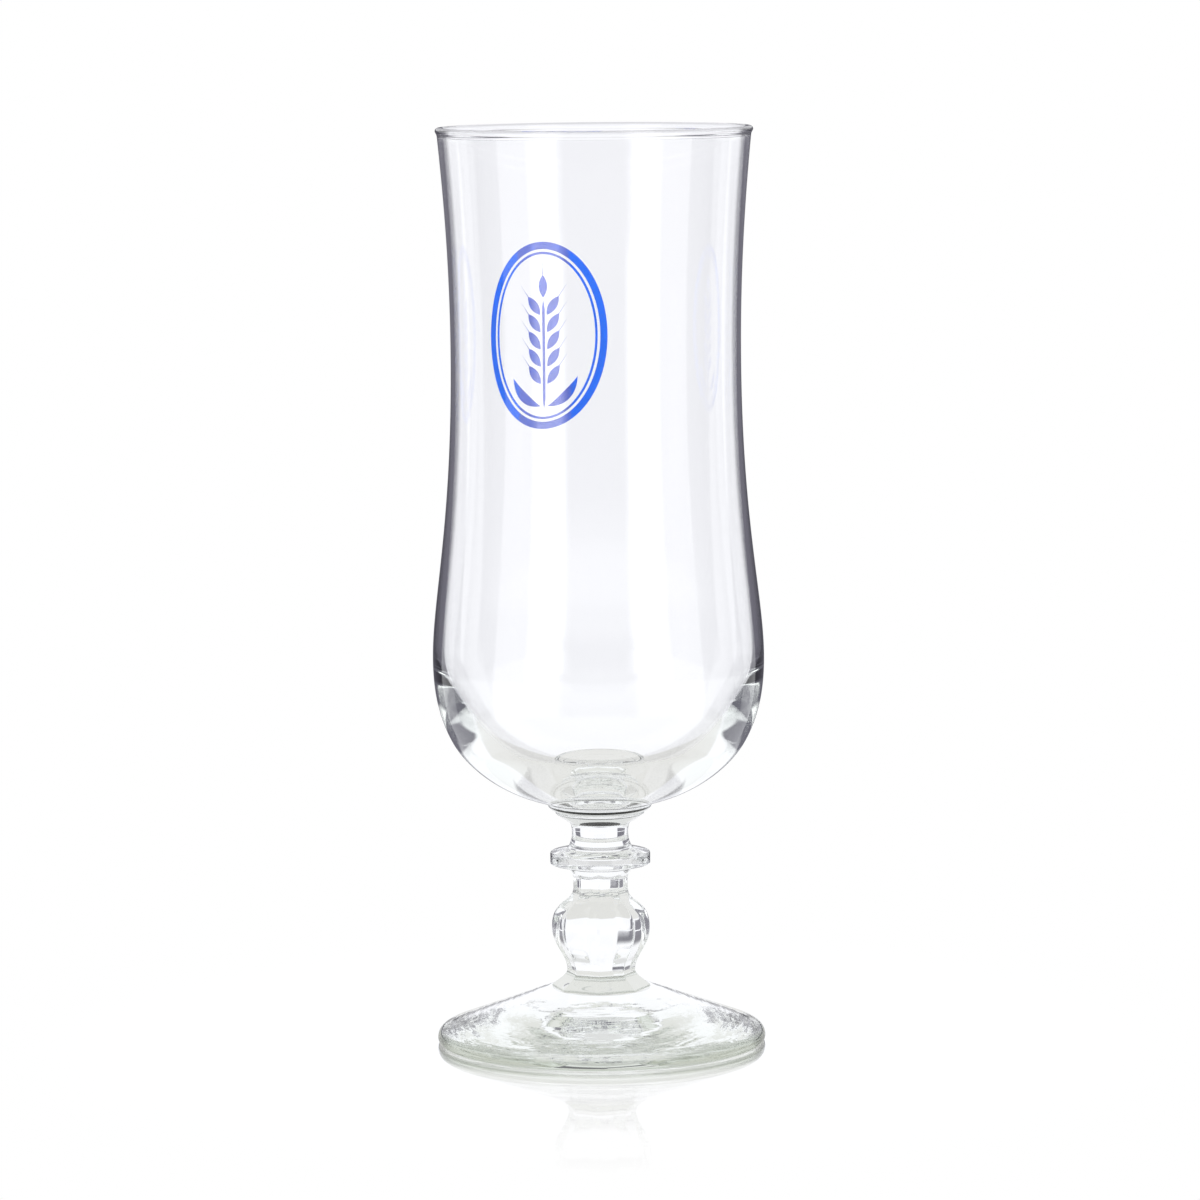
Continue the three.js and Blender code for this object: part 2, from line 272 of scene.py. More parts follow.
def studio_colour(recipe, rays, bearing, rise, strip_mask):
    """The colour of the studio at a bearing and rise, as the light path that looks there finds it.

    Light that was never mirrored finds the strips, if it crossed few surfaces. Light that was mirrored
    off the outside finds low cards ahead, at the sides and behind the camera. Light that was mirrored
    inside the glass finds the same card ahead, wider and higher side cards, a dark band round the whole
    of the camera's side, and a card behind the camera that has no top. Soft boxes show wherever no dark
    card covers them.
    """
    off = bearing.math("ABSOLUTE")
    mirrored = happened(rays["Glossy Depth"])
    inside = mirrored * happened(rays["Transmission Depth"])
    few_crossings = rays["Transmission Depth"].math("LESS_THAN", most_crossings + 0.5)
    strip = (within(bearing, *strips[0]) + within(bearing, *strips[1])) * strip_mask * few_crossings
    low = below(rise, *low_card_top)
    ahead = below(off, *ahead_card) * low
    outer_cards = within(off, *side_cards) * low
    inner_cards = within(off, *inner_side_cards) * below(rise, *inner_card_top)
    beside = chosen(inside, outer_cards, inner_cards)
    band = inside * beyond(off, *inner_band_start) * within(rise, *inner_band)
    behind = beyond(off, *camera_card) * chosen(inside, low, 1)
    cards = (ahead + beside).math("MAXIMUM", band).math("MAXIMUM", behind)
    dark = chosen(mirrored, strip, cards).math("MINIMUM", 1)
    bright = within(off, *soft_boxes) * below(rise, *soft_box_top)
    return recipe.mix(dark, recipe.mix(bright, window_colour, soft_box_colour), card_colour)


def with_fill(recipe, rays, colour):
    """That colour, but a plain fill for light that the enamel scatters, stronger if it crosses glass."""
    on_enamel = happened(rays["Diffuse Depth"])
    through_wall = happened(rays["Transmission Depth"])
    fill = recipe.mix(through_wall, enamel_light, enamel_light_through_glass)
    return recipe.mix(on_enamel, colour, fill)


print("strips show to light that crossed at most", most_crossings, "surfaces")

# %% World
world = bpy.data.worlds.new("studio")
bpy.context.scene.world = world
sky = Recipe(world)
east, north, up = sky.axes(sky.node("ShaderNodeTexCoord")["Generated"])
rise = up.math("ARCSINE") * (180 / math.pi)
rays = sky.node("ShaderNodeLightPath")
round_about = studio_colour(sky, rays, bearing_of(east, north), rise, below(rise, *strip_top))
studio_light = sky.mix(beyond(rise, *overhead), round_about, overhead_colour)
lit_colour = with_fill(sky, rays, studio_light)
studio = sky.node("ShaderNodeBackground", None, {"Color": lit_colour, "Strength": 1.0})
plain_white = sky.node("ShaderNodeBackground", None, {"Color": (1, 1, 1, 1), "Strength": 1.0})
seen = sky.node(
    "ShaderNodeMixShader", None,
    {0: rays["Is Camera Ray"], 1: studio["Background"], 2: plain_white["Background"]},
)
sky.node("ShaderNodeOutputWorld", None, {"Surface": seen["Shader"]})
print("the world's nodes:", len(sky.tree.nodes))

# %% [markdown]
# ## The floor
#
# The glass stands on glossy white acrylic that was lit until it went pure white. Only a faint mirror
# image of the foot is left, clearer in the first few millimetres beside it. So the floor gives out white
# light, and a mirror is mixed in that fades away from the glass. Seen through the glass, the acrylic right
# under it is a little grey. Further out it carries the strips, which stand on it in a near ring and a far
# one with white between. Light that was mirrored on its way finds the cards' feet there, but only beyond
# the middle of the floor, because closer in they would stain the bottom of the bowl.

# %% Floor sizes
# The last number of near_floor, card_floor and the strips' rings is the softness of their edges. A mirror
# fades out between the two numbers of its reach.
floor_half = 3.0
floor_drop = 0.02 * MM
near_floor = (85 * MM, 2.55 * MM)
near_floor_colour = (0.79, 0.79, 0.77, 1)
near_strips = (95 * MM, 370 * MM, 3 * MM)
far_strips = (570 * MM, 17.1 * MM)
card_floor = (170 * MM, 17 * MM)
mirror_share = 0.42
mirror_reach = (36 * MM, 125 * MM)
near_mirror_share = 0.42
near_mirror_reach = (35 * MM, 39.5 * MM)
print("floor", 2 * floor_half, "m wide, mirror shares", mirror_share, near_mirror_share)

# %% Floor
corners = np.array([(-1, -1), (1, -1), (1, 1), (-1, 1)]) * floor_half
floor_mesh = bpy.data.meshes.new("floor")
floor_mesh.from_pydata([(x, y, -floor_drop) for x, y in corners], [], [(0, 1, 2, 3)])
floor = bpy.data.objects.new("floor", floor_mesh)
bpy.context.scene.collection.objects.link(floor)

acrylic = bpy.data.materials.new("white_acrylic")
paint = Recipe(acrylic)
rays = paint.node("ShaderNodeLightPath")
floor_x, floor_y, _ = paint.place()
out = distance_of(floor_x, floor_y)
level = 0 * out
strip_mask = within(out, *near_strips) + beyond(out, *far_strips)
far_floor = studio_colour(paint, rays, bearing_of(floor_x, floor_y), level, strip_mask)
mid_floor = paint.mix(happened(rays["Glossy Depth"]), far_floor, window_colour)
outer_floor = paint.mix(beyond(out, *card_floor), mid_floor, far_floor)
floor_colour = paint.mix(beyond(out, *near_floor), near_floor_colour, outer_floor)
floor_light = with_fill(paint, rays, floor_colour)
through_glass = paint.node("ShaderNodeEmission", None, {"Color": floor_light, "Strength": 1.0})
lit_white = paint.node("ShaderNodeEmission", None, {"Color": (1, 1, 1, 1), "Strength": 1.0})
mirror = paint.node("ShaderNodeBsdfGlossy", None, {"Color": (1, 1, 1, 1), "Roughness": 0.0})
wide_mirror = mirror_share * (1 - out.ramp(*mirror_reach))
near_mirror = near_mirror_share * (1 - out.ramp(*near_mirror_reach))
face_on = paint.node(
    "ShaderNodeMixShader", None,
    {0: wide_mirror + near_mirror, 1: lit_white["Emission"], 2: mirror["BSDF"]},
)
floor_seen = paint.node(
    "ShaderNodeMixShader", None,
    {0: rays["Is Camera Ray"], 1: through_glass["Emission"], 2: face_on["Shader"]},
)
paint.node("ShaderNodeOutputMaterial", None, {"Surface": floor_seen["Shader"]})
floor_mesh.materials.append(acrylic)
print("the floor's nodes:", len(paint.tree.nodes))

# %% [markdown]
# ## Outlines
#
# A turned glass is one outline carried round its axis. The outline is drawn with a few Bezier curves,
# read at even steps along its length and then softened, as the fire polish of real glass softens every
# corner. At last only the rings that the bends need are kept.

# %% Curves and runs of points


def bezier(*handles, steps=60):
    """A Bezier curve: each point sums the handles, weighted by the binomial shares of t and 1 - t."""
    t = np.linspace(0, 1, steps + 1)[:, None]
    order = len(handles) - 1
    shares = [math.comb(order, k) * (1 - t) ** (order - k) * t ** k for k in range(order + 1)]
    return sum(share * np.array(handle, float) for share, handle in zip(shares, handles))


def upright(start, end, pull):
    """A Bezier curve that leaves its start and meets its end upright.

    One handle stands above the start and one below the end, by the two shares of the rise in pull.
    """
    rise = np.array([0, end[1] - start[1]])
    return bezier(start, start + pull[0] * rise, end - pull[1] * rise, end)


def joined(*runs):
    """Runs of points laid end to end."""
    return np.concatenate([np.atleast_2d(np.array(run, float)) for run in runs])


def travelled(outline):
    """The length of the outline up to each of its points."""
    return np.concatenate([[0], np.cumsum(np.hypot(*np.diff(outline, axis=0).T))])


def read_at(outline, lengths):
    """The points of the outline at those lengths along it."""
    along = travelled(outline)
    return np.stack([np.interp(lengths, along, outline[:, k]) for k in (0, 1)], axis=1)


print("curve helpers ready")

# %% Polish, spacing and cuts


def polished(outline, softness, step=0.04):
    """The outline read at even steps and blurred along its length by a Gaussian of that width.

    Each end is first continued by its own point reflection, so the two ends stay where they are.
    """
    length = travelled(outline)[-1]
    even = read_at(outline, np.linspace(0, length, int(length / step)))
    reach = int(4 * softness / step)
    bell = np.exp(-0.5 * (np.arange(-reach, reach + 1) * step / softness) ** 2)
    bell /= bell.sum()
    head = 2 * even[0] - even[reach:0:-1]
    tail = 2 * even[-1] - even[-2:-reach - 2:-1]
    longer = np.concatenate([head, even, tail])
    return np.stack([np.convolve(longer[:, k], bell, "valid") for k in (0, 1)], axis=1)


def spaced(outline, longest=1.3, sharpest=4.0):
    """The outline with rings no further apart than longest, and no bend over sharpest degrees between two.

    The cost of a step is its length over longest plus its bend over sharpest, and the rings cut the whole
    cost into equal parts.
    """
    steps = np.diff(outline, axis=0)
    heading = np.unwrap(np.arctan2(steps[:, 1], steps[:, 0]))
    bend = np.abs(np.diff(heading, prepend=heading[0]))
    cost = np.hypot(*steps.T) / longest + np.degrees(bend) / sharpest
    spent = np.concatenate([[0], np.cumsum(cost)])
    wanted = np.linspace(0, spent[-1], math.ceil(spent[-1]) + 1)
    return read_at(outline, np.interp(wanted, spent, travelled(outline)))


def length_at(outline, height):
    """The length along a rising outline up to where it first reaches that height."""
    along = travelled(outline)
    after = np.argmax(outline[:, 1] >= height)
    before = max(after - 1, 0)
    return np.interp(height, outline[before:after + 1, 1], along[before:after + 1])


def part_between(outline, low, high):
    """The stretch of a rising outline whose heights lie between low and high, cut exactly there."""
    along = travelled(outline)
    start, end = length_at(outline, low), length_at(outline, high)
    inside = along[(along > start) & (along < end)]
    return read_at(outline, np.concatenate([[start], inside, [end]]))


print("outline helpers ready")

# %% [markdown]
# ## From an outline to a mesh
#
# Every glass piece is a grid: rings along its outline by columns round its axis. The grid is worked out
# as whole arrays. Where a piece was fused to its neighbour its end is a flat disc, which the glass
# material lets straight through, because there is no surface there in the real glass. A hair's gap
# between the two discs of a seam keeps them from falling together.

# %% Rings of points
columns = 240
seam_gap = 0.02


def angles():
    """The bearings of the columns, in radians."""
    return np.arange(columns) * (2 * np.pi / columns)


def lathe(outline, radii=None):
    """Points of a turned surface: (radius cos a, radius sin a, height) for each ring and each bearing a."""
    radii = outline[:, :1] * np.ones(columns) if radii is None else radii
    a = angles()
    heights = np.broadcast_to(outline[:, 1:], radii.shape)
    return np.stack([radii * np.cos(a), radii * np.sin(a), heights], axis=2)


print("columns round every glass piece:", columns)

# %% Points and faces into a mesh


def mesh_piece(name, points, faces):
    """A smooth piece from points in millimetres and from arrays of faces, quads or triangles.

    The volume is a sixth of the sum, over all triangles, of corner dot (corner cross corner). It is
    printed, because a volume below nought would mean that the faces point inwards.
    """
    corners = np.concatenate([face.ravel() for face in faces])
    sides = np.concatenate([np.full(len(face), face.shape[1]) for face in faces])
    mesh = bpy.data.meshes.new(name)
    mesh.vertices.add(len(points))
    mesh.vertices.foreach_set("co", (points * MM).ravel())
    mesh.loops.add(len(corners))
    mesh.loops.foreach_set("vertex_index", corners.astype(np.int32))
    mesh.polygons.add(len(sides))
    mesh.polygons.foreach_set("loop_start", np.concatenate([[0], np.cumsum(sides)[:-1]]).astype(np.int32))
    mesh.update(calc_edges=True)
    mesh.validate()
    mesh.shade_smooth()
    piece = bpy.data.objects.new(name, mesh)
    bpy.context.scene.collection.objects.link(piece)
    halves = [face[:, [0, k, k + 1]] for face in faces for k in range(1, face.shape[1] - 1)]
    a, b, c = np.moveaxis(points[np.concatenate(halves)], 1, 0)
    print(name, "faces", len(sides), "volume", round((a * np.cross(b, c)).sum() / 6, 3), "cubic mm")
    return piece


def grid_faces(rings, around, closed=False):
    """The quads between the rings of a grid that closes on itself around, and along too if it is closed."""
    numbers = np.arange(rings * around).reshape(rings, around)
    turned = np.roll(numbers, -1, axis=1)
    above, above_turned = np.roll(numbers, -1, axis=0), np.roll(turned, -1, axis=0)
    quads = np.stack([numbers, turned, above_turned, above], axis=2)
    return (quads if closed else quads[:-1]).reshape(-1, 4)


print("mesh helpers ready")

# %% Closed glass pieces


def glass_piece(name, grid, seams=(None, None)):
    """A closed piece from rings of points. Each end is drawn together into a pole.

    A neighbour named in seams is the one that the piece was fused to at its first or last ring. That end
    is a flat disc of its own, with a sharp edge and a face value called seam.
    """
    rings, around = grid.shape[:2]
    quads = grid_faces(rings, around)
    first, last = np.arange(around), np.arange(around) + (rings - 1) * around
    bottom, top = rings * around, rings * around + 1
    low_fan = np.stack([np.roll(first, -1), first, np.full(around, bottom)], axis=1)
    high_fan = np.stack([last, np.roll(last, -1), np.full(around, top)], axis=1)
    points = np.concatenate([grid.reshape(-1, 3), grid[[0, -1]].mean(axis=1)])
    piece = mesh_piece(name, points, [quads, low_fan, high_fan])

    mesh = piece.data
    seam = np.zeros(len(mesh.polygons), np.float32)
    seam[len(quads):len(quads) + around] = seams[0] is not None
    seam[len(quads) + around:] = seams[1] is not None
    mesh.attributes.new("seam", "FLOAT", "FACE").data.foreach_set("value", seam)
    ends = np.empty(2 * len(mesh.edges), np.int32)
    mesh.edges.foreach_get("vertices", ends)
    ends = ends.reshape(-1, 2)
    low_edge = (ends < around).all(axis=1) & (seams[0] is not None)
    in_last_ring = (ends >= (rings - 1) * around) & (ends < rings * around)
    high_edge = in_last_ring.all(axis=1) & (seams[1] is not None)
    mesh.attributes.new("sharp_edge", "BOOLEAN", "EDGE").data.foreach_set("value", low_edge | high_edge)
    return piece


print("the gap at a seam is", seam_gap, "mm")

# %% [markdown]
# ## The clear glass
#
# Soda-lime glass bends light by 1.52 and is faintly green where it is thick, so the colour comes from
# absorption inside it. On a seam disc the alpha is nought. The surface stays clear, but for two fine
# lines that a function gives as a faint surface colour: a painted dark shade at the rim, and a sage green
# along the foot's edge. Another function may give the normal, for marks that are too fine for the mesh.

# %% Glass material
glass_ior = 1.52
glass_tint = (0.80, 1.0, 0.80, 1)
glass_depth = 2.2


def clear_glass(name, colour=None, bump=None):
    """Clear glass with seams that let light straight through. Functions may give colour and normal."""
    material = bpy.data.materials.new(name)
    recipe = Recipe(material)
    seam = recipe.node("ShaderNodeAttribute", {"attribute_name": "seam"})["Fac"]
    inputs = {
        "Base Color": colour(recipe) if colour else (1, 1, 1, 1),
        "Roughness": 0.0,
        "IOR": glass_ior,
        "Transmission Weight": 1.0,
        "Alpha": 1 - seam,
    }
    if bump:
        inputs["Normal"] = bump(recipe)
    surface = recipe.node("ShaderNodeBsdfPrincipled", None, inputs)
    inside = recipe.node("ShaderNodeVolumeAbsorption", None, {"Color": glass_tint, "Density": glass_depth})
    recipe.node("ShaderNodeOutputMaterial", None, {"Surface": surface["BSDF"], "Volume": inside["Volume"]})
    return material


stem_glass = clear_glass("stem_glass")
print("glass bends light by", glass_ior)

# %% [markdown]
# ## The stem, plate and bowl as one outline
#
# These pieces were fused while hot, so their outline is drawn in one go, from the flange on the foot up
# to the rim and down the inside to the floor. It is softened as a whole and then cut where pieces meet.

# %% Heights and radii that the frame gives
_, foot_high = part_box("foot")
_, stem_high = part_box("stem")
_, plate_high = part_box("stem_plate")
bowl_low, bowl_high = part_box("bowl")

foot_radius = foot_high.x / MM
seat_height = foot_high.z / MM
stem_top = stem_high.z / MM
bowl_base = bowl_low.z / MM
rim_top = bowl_high.z / MM
belly_radius = bowl_high.x / MM
plate_top_radius = plate_high.x / MM
print("seat", seat_height, "stem top", stem_top, "bowl base", bowl_base, "rim", rim_top)

# %% [markdown]
# The stem is pressed: a flange spreads onto the foot, a knop swells between ankle and neck, and a thin
# collar stands out above it. A value called pull says how far the handles of a curve stand from its ends,
# as shares of the curve's rise or run.

# %% Stem sizes
ankle_radius = 6.85
flange_spread = 3.05
flange_edge = 0.35
flange_rise = 3.05
flange_pull = (0.45, 0.35)
knop_radius = 9.95
knop_lower = 8.6
knop_lower_pull = (0.35, 0.42)
knop_upper = 8.2
knop_upper_pull = (0.72, 0.42)
lower_neck_radius = 5.5
lower_neck_height = 1.7
under_collar_flare = 1.1
under_collar_rise = 2.45
collar_radius = 10.0
collar_underslope = 0.6
collar_thickness = 2.45
collar_upper_corner = 0.3
collar_lower_corner = 0.4
collar_top_flare = 0.9
collar_top_rise = 0.8
upper_neck_radius = 5.6
upper_neck_rise = 3.3
neck_pull = 0.4
stem_top_flare = 0.4
stem_top_rise = 1.9

flange_radius = ankle_radius + flange_spread
ankle = seat_height + flange_edge + flange_rise
knop = ankle + knop_lower
neck_bottom = knop + knop_upper
neck_top = neck_bottom + lower_neck_height
under_collar = neck_top + under_collar_rise
collar_bottom = under_collar + collar_underslope
collar_top = collar_bottom + collar_thickness
collar_cone = collar_top + collar_top_rise
upper_neck = collar_cone + upper_neck_rise
print("ankle", ankle, "knop", knop, "collar", collar_bottom, "to", collar_top)

# %% Stem outline
stem_outline = joined(
    [(flange_radius, seat_height), (flange_radius, seat_height + flange_edge)],
    bezier(
        (flange_radius, seat_height + flange_edge),
        ((flange_radius + ankle_radius) / 2, seat_height + flange_edge + flange_rise * flange_pull[0]),
        (ankle_radius, ankle - flange_rise * flange_pull[1]),
        (ankle_radius, ankle),
    ),
    upright((ankle_radius, ankle), (knop_radius, knop), knop_lower_pull),
    upright((knop_radius, knop), (lower_neck_radius, neck_bottom), knop_upper_pull),
    bezier(
        (lower_neck_radius, neck_top),
        (lower_neck_radius, neck_top + under_collar_rise * neck_pull),
        (lower_neck_radius + under_collar_flare, under_collar),
    ),
    bezier(
        (collar_radius - collar_lower_corner, collar_bottom),
        (collar_radius, collar_bottom),
        (collar_radius, collar_bottom + collar_lower_corner / 2),
    ),
    bezier(
        (collar_radius, collar_top - collar_upper_corner),
        (collar_radius, collar_top),
        (collar_radius - collar_upper_corner, collar_top),
    ),
    bezier(
        (upper_neck_radius + collar_top_flare, collar_cone),
        (upper_neck_radius, collar_cone + upper_neck_rise * neck_pull),
        (upper_neck_radius, upper_neck),
    ),
    bezier(
        (upper_neck_radius, upper_neck),
        (upper_neck_radius, upper_neck + stem_top_rise / 2),
        (upper_neck_radius + stem_top_flare, stem_top),
    ),
)
print("stem outline", round(travelled(stem_outline)[-1], 1), "mm long")

# %% Plate outline
plate_seat_margin = 0.1
plate_lip = 0.35

plate_bottom_radius = upper_neck_radius + stem_top_flare + plate_seat_margin
plate_outline = joined(
    bezier(
        (plate_bottom_radius, stem_top),
        ((plate_bottom_radius + plate_top_radius) / 2, (stem_top + bowl_base - plate_lip) / 2),
        (plate_top_radius, bowl_base - plate_lip),
    ),
    (plate_top_radius, bowl_base),
)
print("plate", round(plate_bottom_radius, 2), "to", round(plate_top_radius, 2), "mm in radius")

# %% [markdown]
# The bowl's wall runs through its knee, belly and waist to the rim. Its handles lie along the tangent
# at each of those, so the curve stays smooth. The wall's thickness is a quadratic curve from rim to
# belly that passes through the waist's thickness, and it is taken off the outside. From there two wide
# curves carry the cavity round its heel to the middle of its floor. Their handles are in millimetres.

# %% Bowl sizes
base_inset = 0.3
pad_bulge = 1.8
pad_undercut = 0.4
pad_height = 1.85
pad_pull = 0.2
pad_fullness = 0.7
knee_inset = 3.8
knee_height = 14.2
knee_slope = math.radians(61)
knee_pull = (0.51, 0.165, 0.38)
belly_rise = 16.8
belly_pull = (0.256, 0.486)
waist_radius = 28.75
waist_drop = 44.5
waist_pull = (0.2, 0.56)
rim_radius = 31.0
rim_flare = math.radians(5.7)
rim_pull = (0.38, 0.3)
bead_bulge = 0.4
bead_height = 1.5
rim_wall = 1.15
waist_wall = 0.8
belly_wall = 1.95
cavity_turn_rise = 33.4
cavity_turn_handle = 7.5
heel_radius = 24.0
heel_rise = 14.9
heel_slope = math.radians(49)
heel_handles = (6.0, 3.0)
floor_thickness = 5.6
floor_spread = 13

base_radius = plate_top_radius - base_inset
pad_radius = base_radius + pad_bulge
pad_top = bowl_base + pad_height
knee_radius = belly_radius - knee_inset
knee = bowl_base + knee_height
belly = knee + belly_rise
waist = rim_top - waist_drop
shoulder = rim_top - bead_height
print("knee", knee, "belly", belly, "waist", waist, "shoulder", shoulder)

# %% Pad and wall outline
pad_outline = joined(
    (base_radius, bowl_base),
    bezier(
        (base_radius, bowl_base),
        (pad_radius - pad_undercut, bowl_base + pad_height * pad_pull),
        (pad_radius, bowl_base + pad_height * pad_fullness),
    ),
)

knee_point = np.array([knee_radius, knee])
knee_lean = np.array([math.cos(knee_slope), math.sin(knee_slope)])
rim_point = np.array([rim_radius, shoulder])
rim_lean = np.array([math.tan(rim_flare), 1])
rim_rise = shoulder - waist
wall_outline = joined(
    bezier(
        (pad_radius, pad_top),
        (pad_radius + (knee_radius - pad_radius) * knee_pull[0], pad_top + (knee - pad_top) * knee_pull[1]),
        knee_point - knee_lean * knee_height * knee_pull[2],
        knee_point,
    ),
    bezier(
        knee_point,
        knee_point + knee_lean * belly_rise * belly_pull[0],
        (belly_radius, belly - belly_rise * belly_pull[1]),
        (belly_radius, belly),
    ),
    upright((belly_radius, belly), (waist_radius, waist), waist_pull),
    bezier(
        (waist_radius, waist),
        (waist_radius, waist + rim_rise * rim_pull[0]),
        rim_point - rim_lean * rim_rise * rim_pull[1],
        rim_point,
    ),
)


def wall_radius(height):
    """The bowl's outer radius at a height above the table."""
    return np.interp(height, wall_outline[:, 1], wall_outline[:, 0])


print("outside of the wall", round(travelled(wall_outline)[-1], 1), "mm long")

# %% Bead outline
bead_radius = rim_radius + bead_bulge
bead_middle = rim_top - bead_height / 2
inner_rim = rim_radius - rim_wall
bead_inside = inner_rim - bead_bulge
bead_crown = (bead_radius + bead_inside) / 2
bead_outline = joined(
    (bead_radius, bead_middle),
    bezier((bead_radius, bead_middle), (bead_radius, rim_top), (bead_crown, rim_top)),
    bezier((bead_crown, rim_top), (bead_inside, rim_top), (bead_inside, bead_middle)),
)
print("bead", round(bead_radius - bead_inside, 2), "mm wide")

# %% Cavity outline
cavity_steps = 160

floor_top = bowl_base + floor_thickness
cavity_turn = bowl_base + cavity_turn_rise
heel = bowl_base + heel_rise
inside_heights = np.linspace(shoulder, cavity_turn, cavity_steps)
down = (shoulder - inside_heights) / (shoulder - cavity_turn)
waist_share = (shoulder - waist) / (shoulder - cavity_turn)
middle_wall = waist_wall - (1 - waist_share) ** 2 * rim_wall - waist_share ** 2 * belly_wall
middle_wall /= 2 * waist_share * (1 - waist_share)
thickness = (1 - down) ** 2 * rim_wall + 2 * down * (1 - down) * middle_wall + down ** 2 * belly_wall
inside_wall = np.stack([wall_radius(inside_heights) - thickness, inside_heights], axis=1)
turn = inside_wall[-1]
turn_lean = (inside_wall[-1] - inside_wall[-2]) / (inside_heights[-2] - inside_heights[-1])
heel_point = np.array([heel_radius, heel])
heel_lean = np.array([math.cos(heel_slope), math.sin(heel_slope)])
turn_handle = turn + turn_lean * cavity_turn_handle
inside_heel = bezier(turn, turn_handle, heel_point + heel_lean * heel_handles[0], heel_point)
floor_handle = (floor_spread, floor_top)
inside_floor = bezier(heel_point, heel_point - heel_lean * heel_handles[1], floor_handle, (0, floor_top))
print("cavity floor", floor_top, "thinnest wall", round(thickness.min(), 2))

# %% Soften the whole outline and cut it at the seams
fire_polish = 0.16
stem_ring_space = 0.5

whole_outline = polished(joined(
    stem_outline, plate_outline, pad_outline, wall_outline,
    bead_outline, inside_wall, inside_heel, inside_floor,
), fire_polish)
rim_ring = np.argmax(whole_outline[:, 1])
rising, falling = whole_outline[:rim_ring + 1], whole_outline[rim_ring:]
half_gap = seam_gap / 2
stem_rings = spaced(part_between(rising, seat_height + half_gap, stem_top - half_gap), stem_ring_space)
plate_rings = spaced(part_between(rising, stem_top + half_gap, bowl_base - half_gap), stem_ring_space)
bowl_rings = joined(
    spaced(part_between(rising, bowl_base + half_gap, rising[-1, 1])),
    spaced(falling)[1:-1],
)
print("rings: stem", len(stem_rings), "plate", len(plate_rings), "bowl", len(bowl_rings))

# %% [markdown]
# The stem's mould had eight flats, up to the lower neck. Above that the stem is round. Flats could be cut
# with planes, but a soft octagon that scales each ring keeps their rounded corners and fades out smoothly.

# %% Stem
flats = 8
facet_turn = math.radians(-93.4)
knop_sharpness = 56
ankle_sharpness = 170


def octagon(bearings, sharpness):
    """The radius of a soft octagon whose corners would reach one, for each sharpness and bearing.

    The distance to a flat is the cosine of the bearing from its middle. The octagon is the soft maximum
    of the eight: the sum of their powers, taken back to its root, so the corners come out rounded.
    """
    middles = facet_turn + (np.arange(flats) + 0.5) * (2 * np.pi / flats)
    towards = np.maximum(np.cos(bearings[:, None] - middles), 0)[None, :, :]
    power = np.asarray(sharpness, float).reshape(-1, 1, 1)
    reach = (towards ** power).sum(axis=2) ** (1 / power[:, :, 0])
    return math.cos(np.pi / flats) / reach


def smooth_step(value, low, high):
    """Nought below low, one above high, and 3t squared less 2t cubed between them."""
    t = np.clip((value - low) / (high - low), 0, 1)
    return t * t * (3 - 2 * t)


pressed = 1 - smooth_step(stem_rings[:, 1:], neck_top, under_collar)
sharpness = ankle_sharpness + (knop_sharpness - ankle_sharpness) * smooth_step(stem_rings[:, 1], ankle, knop)
stem_radii = stem_rings[:, :1] * (1 + pressed * (octagon(angles(), sharpness) - 1))
stem = glass_piece("stem_glass", lathe(stem_rings, stem_radii), seams=("foot", "plate"))
stem.data.materials.append(stem_glass)
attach(stem, "root")
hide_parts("stem")

# %% [markdown]
# Along the top of a real rim runs a fine dark line, where the bead bends the light away. On the model's
# bead it comes out too faint, so painted shade, a dark grey in the surface colour of the bead's top, adds to
# it.

# %% Plate and bowl
# Painted shade: a dark grey on the bead's top that draws the rim's dark line of bent light.
rim_painted_shade = (0.50, 0.49, 0.50, 1)
rim_painted_shade_start = 0.75
rim_painted_shade_full = 0.1


def painted_rim_shade(recipe):
    """White on the bowl, going over to a painted dark shade between two depths below the rim's top."""
    height = recipe.place()[2]
    top = height.ramp((rim_top - rim_painted_shade_start) * MM, (rim_top - rim_painted_shade_full) * MM)
    return recipe.mix(top, (1, 1, 1, 1), rim_painted_shade)


bowl_glass = clear_glass("bowl_glass", painted_rim_shade)
plate = glass_piece("plate_glass", lathe(plate_rings), seams=("stem", "bowl"))
bowl = glass_piece("bowl_glass", lathe(bowl_rings), seams=("plate", None))
for piece, node, glass in ((plate, "stem_plate", stem_glass), (bowl, "bowl", bowl_glass)):
    piece.data.materials.append(glass)
    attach(piece, "root")
    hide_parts(node)

# %% [markdown]
# ## The badge
#
# The badge was printed in enamel on the outside of the back wall and then fired, so it fused to the
# glass. It is an upright oval with an inner line, and an ear of barley inside it. Every patch is a
# stroke: a line on the wall with a width, whose section is a flat lens. A hair's breadth is left between
# the lens and the wall, because light that has to leave a patch inside the glass is mostly turned back,
# and the blue would come out dull.

# %% Badge sizes
badge_drop = 43
badge_bearing = math.radians(112)
enamel_gap = 0.015
enamel_height = 0.10
band_half = np.array([13.5, 19.3])
band_stroke = 1.5
inner_gap = 0.55
inner_stroke = 0.5
ear_margin = 1.5
stalk_margin = 1.6
stalk_length = 5.2
stalk_width = 0.6
stalk_taper = 12
grain_pairs = 5
grain_tilt = math.radians(35)
grain_length = 4.6
grain_gap = 0.2
grain_clearance = 0.45
grain_fullness = 0.8
awn_length = 2.8
awn_width = 0.34
thinnest = 0.04

badge_height = rim_top - badge_drop
badge_radius = wall_radius(badge_height)
inner_inset = band_stroke + inner_gap + inner_stroke / 2
inner_half_height = band_half[1] - inner_inset - inner_stroke / 2
grain_total = grain_length + awn_length
ear_top = inner_half_height - ear_margin - grain_total
stalk_foot = stalk_margin - inner_half_height
ear_base = stalk_foot + stalk_length
grain_pitch = (ear_top - ear_base) / grain_pairs
grain_width = grain_pitch * math.sin(grain_tilt) - grain_gap
grain_offset = stalk_width / 2 + grain_clearance
print("badge centre", round(badge_height, 1), "mm up on a wall of radius", round(float(badge_radius), 2))

# %% Strokes of enamel
section_points = 16
stroke_steps = 64
crown_power = 0.6


